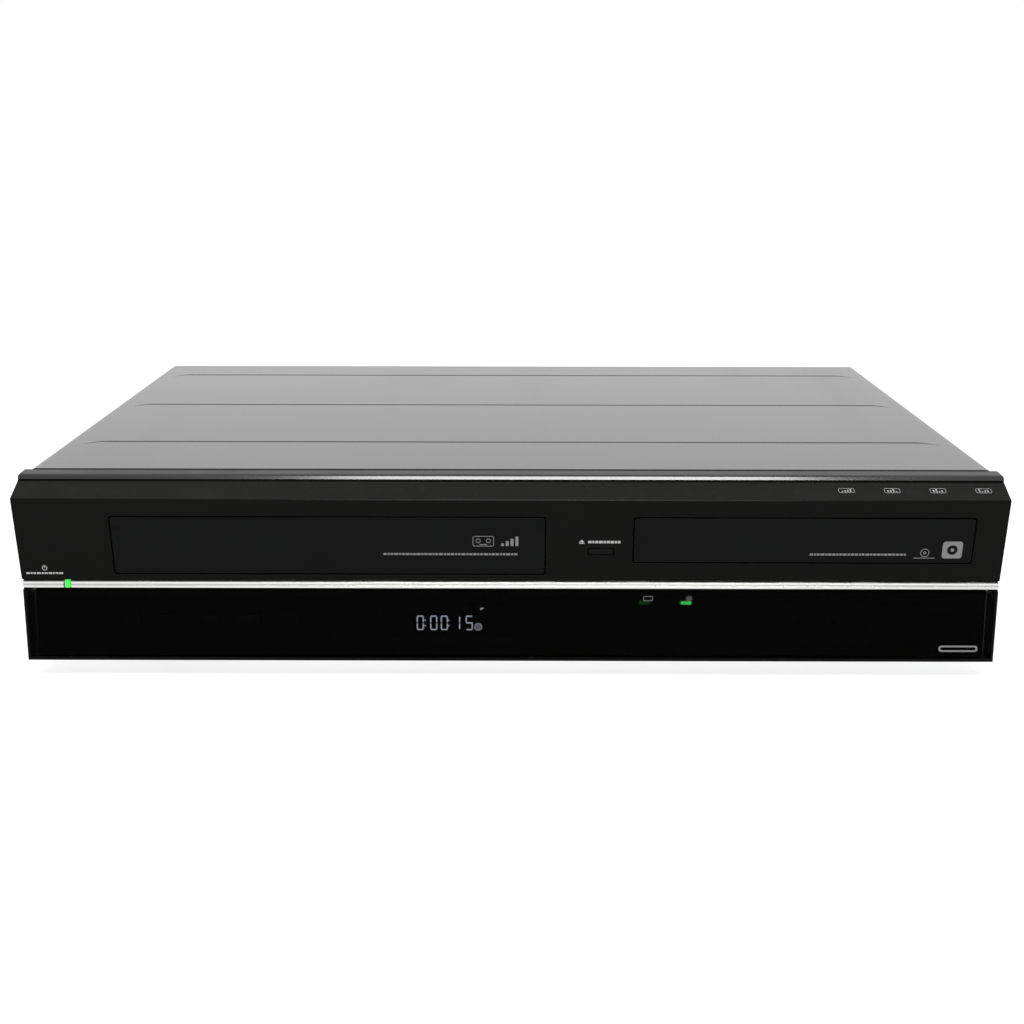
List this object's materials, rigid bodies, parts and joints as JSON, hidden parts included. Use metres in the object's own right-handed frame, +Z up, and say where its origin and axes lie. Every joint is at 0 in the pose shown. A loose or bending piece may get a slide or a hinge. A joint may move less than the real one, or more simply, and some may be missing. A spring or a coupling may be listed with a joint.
{
  "type": "disc and tape combo player",
  "caption": "Full-width home video player with a cassette flap, a motorised disc tray, a drop-down smoked lower door and a sheet-metal case.",
  "frame": {"origin": "on the table under the middle of the player's whole box", "axes": "+X to the right seen from the front, +Y to the back, +Z up; the cassette flap, tray and lower door face -Y"},
  "size_m": [0.435, 0.3644, 0.0942],
  "materials": {
    "bezel_plastic": "dark moulded plastic with a soft sheen",
    "board_green": "glass-fibre circuit board with green mask",
    "bright_metal": "turned and plated metal",
    "bright_trim": "bright satin metallised plastic",
    "case_paint": "semi-gloss sprayed paint",
    "copper_coil": "varnished winding and core",
    "dark_plastic": "matt moulded plastic",
    "display_glass": "dark display glass",
    "light_guide": "clear light guide lit green",
    "light_plastic": "pale acetal",
    "rubber": "soft black rubber",
    "smoked_plastic": "deep glossy smoked plastic",
    "zinc_sheet": "zinc-plated sheet"
  },
  "bodies": {
    "chassis": {"aerial_sockets": "bright_metal", "bottom_chassis": "zinc_sheet", "cassette_carriage": "zinc_sheet", "clamp_bridge": "zinc_sheet", "control_deck": "bezel_plastic", "cover_screw_front_left": "bright_metal", "cover_screw_front_right": "bright_metal", "cover_screw_rear_left": "bright_metal", "cover_screw_rear_right": "bright_metal", "deck_plate": "zinc_sheet", "digital_socket": "bright_metal", "display_module": "display_glass", "drive_belt": "rubber", "drive_frame": "dark_plastic", "drum_base": "bright_metal", "fan_frame": "dark_plastic", "foot_front_left": "rubber", "foot_front_right": "rubber", "foot_rear_left": "rubber", "foot_rear_right": "rubber", "front_bezel": "bezel_plastic", "front_board": "board_green", "front_sockets": "dark_plastic", "loading_motor": "bright_metal", "main_board": "board_green", "mains_inlet": "dark_plastic", "mode_lights": "light_guide", "power_board": "board_green", "rear_panel": "zinc_sheet", "rear_sockets": "dark_plastic", "standby_light": "light_guide", "top_cover": "case_paint", "transformer": "copper_coil", "trim_strip": "bright_trim"},
    "flap": {"cassette_flap": "bezel_plastic"},
    "door": {"lower_door": "smoked_plastic"},
    "standby": {"standby_button": "bright_trim"},
    "open_button": {"open_close_button": "bezel_plastic"},
    "tray": {"disc_tray": "dark_plastic", "tray_front": "bezel_plastic"},
    "tray_gear": {"tray_gear": "light_plastic"},
    "traverse": {"traverse": "zinc_sheet", "spindle_motor": "bright_metal"},
    "turntable": {"turntable": "dark_plastic"},
    "pickup": {"pickup": "dark_plastic"},
    "clamp_puck": {"clamp_puck": "light_plastic"},
    "fan_rotor": {"fan_rotor": "dark_plastic"},
    "head_drum": {"head_drum": "bright_metal"},
    "capstan": {"capstan": "bright_metal"},
    "belt_pulley": {"belt_pulley": "light_plastic"},
    "supply_reel": {"supply_reel": "light_plastic"},
    "take_up_reel": {"take_up_reel": "light_plastic"},
    "sled": {"cassette_sled": "dark_plastic"},
    "pinch_arm": {"pinch_arm": "zinc_sheet"},
    "pinch_roller": {"pinch_roller": "rubber"},
    "record_key": {"record_key": "dark_plastic"},
    "stop_key": {"stop_key": "dark_plastic"},
    "play_key": {"play_key": "dark_plastic"},
    "rewind_key": {"rewind_key": "dark_plastic"},
    "forward_key": {"forward_key": "dark_plastic"}
  },
  "joints": [
    {"name": "flap_hinge", "type": "hinge", "parent": "chassis", "child": "flap", "pos_m": [-0.0801, -0.17562, 0.0803], "axis": [1, 0, 0], "range_deg": [0, 74], "stiffness_Nm_per_rad": 0.004, "springref_deg": -17.19},
    {"name": "door_hinge", "type": "hinge", "parent": "chassis", "child": "door", "pos_m": [0, -0.1676, 0.0118], "axis": [1, 0, 0], "range_deg": [0, 86]},
    {"name": "standby_press", "type": "slide", "parent": "chassis", "child": "standby", "axis": [0, 1, 0], "range_m": [0, 0.0008], "stiffness_N_per_m": 400, "springref_m": -0.0005},
    {"name": "open_press", "type": "slide", "parent": "chassis", "child": "open_button", "axis": [0, 1, 0], "range_m": [0, 0.0008], "stiffness_N_per_m": 400, "springref_m": -0.0005},
    {"name": "record_key_press", "type": "slide", "parent": "chassis", "child": "record_key", "axis": [0, 1, 0], "range_m": [0, 0.0005], "stiffness_N_per_m": 500, "springref_m": -0.0005},
    {"name": "stop_key_press", "type": "slide", "parent": "chassis", "child": "stop_key", "axis": [0, 1, 0], "range_m": [0, 0.0005], "stiffness_N_per_m": 500, "springref_m": -0.0005},
    {"name": "play_key_press", "type": "slide", "parent": "chassis", "child": "play_key", "axis": [0, 1, 0], "range_m": [0, 0.0005], "stiffness_N_per_m": 500, "springref_m": -0.0005},
    {"name": "rewind_key_press", "type": "slide", "parent": "chassis", "child": "rewind_key", "axis": [0, 1, 0], "range_m": [0, 0.0005], "stiffness_N_per_m": 500, "springref_m": -0.0005},
    {"name": "forward_key_press", "type": "slide", "parent": "chassis", "child": "forward_key", "axis": [0, 1, 0], "range_m": [0, 0.0005], "stiffness_N_per_m": 500, "springref_m": -0.0005},
    {"name": "tray_slide", "type": "slide", "parent": "chassis", "child": "tray", "axis": [0, -1, 0], "range_m": [0, 0.12723]},
    {"name": "tray_gear_turn", "type": "hinge", "parent": "chassis", "child": "tray_gear", "pos_m": [0.0797, -0.1442, 0.0571], "axis": [0, 0, 1], "range_deg": [0, 810]},
    {"name": "traverse_lift", "type": "slide", "parent": "chassis", "child": "traverse", "axis": [0, 0, 1], "range_m": [0, 0.0064]},
    {"name": "turntable_spin", "type": "hinge", "parent": "traverse", "child": "turntable", "pos_m": [0.1289, -0.0902, 0.0484], "axis": [0, 0, 1], "continuous": true},
    {"name": "pickup_slide", "type": "slide", "parent": "traverse", "child": "pickup", "axis": [0, 1, 0], "range_m": [0, 0.028]},
    {"name": "puck_spin", "type": "hinge", "parent": "chassis", "child": "clamp_puck", "pos_m": [0.1289, -0.0902, 0.0484], "axis": [0, 0, 1], "continuous": true},
    {"name": "fan_spin", "type": "hinge", "parent": "chassis", "child": "fan_rotor", "pos_m": [-0.125, 0.1719, 0.0506], "axis": [0, 1, 0], "continuous": true},
    {"name": "drum_spin", "type": "hinge", "parent": "chassis", "child": "head_drum", "pos_m": [-0.0801, 0.0698, 0.0255], "axis": [0, 0, 1], "continuous": true},
    {"name": "capstan_spin", "type": "hinge", "parent": "chassis", "child": "capstan", "pos_m": [-0.0341, 0.0418, 0.0255], "axis": [0, 0, 1], "continuous": true},
    {"name": "pulley_spin", "type": "hinge", "parent": "chassis", "child": "belt_pulley", "pos_m": [-0.0901, 0.0178, 0.0255], "axis": [0, 0, 1], "continuous": true},
    {"name": "supply_spin", "type": "hinge", "parent": "chassis", "child": "supply_reel", "pos_m": [-0.1261, -0.0322, 0.0255], "axis": [0, 0, 1], "continuous": true},
    {"name": "take_up_spin", "type": "hinge", "parent": "chassis", "child": "take_up_reel", "pos_m": [-0.0341, -0.0322, 0.0255], "axis": [0, 0, 1], "continuous": true},
    {"name": "sled_slide", "type": "slide", "parent": "chassis", "child": "sled", "axis": [0, 1, 0], "range_m": [0, 0.046]},
    {"name": "pinch_swing", "type": "hinge", "parent": "chassis", "child": "pinch_arm", "pos_m": [-0.0051, 0.0418, 0.0255], "axis": [0, 0, 1], "range_deg": [0, 36]},
    {"name": "roller_spin", "type": "hinge", "parent": "pinch_arm", "child": "pinch_roller", "pos_m": [-0.02053, 0.06019, 0.0255], "axis": [0, 0, 1], "continuous": true}
  ],
  "couplings": [
    {"joint": "tray_gear_turn", "follows": "tray_slide", "rad_per_m": 111.11},
    {"joint": "pulley_spin", "follows": "capstan_spin", "ratio": 2}
  ]
}
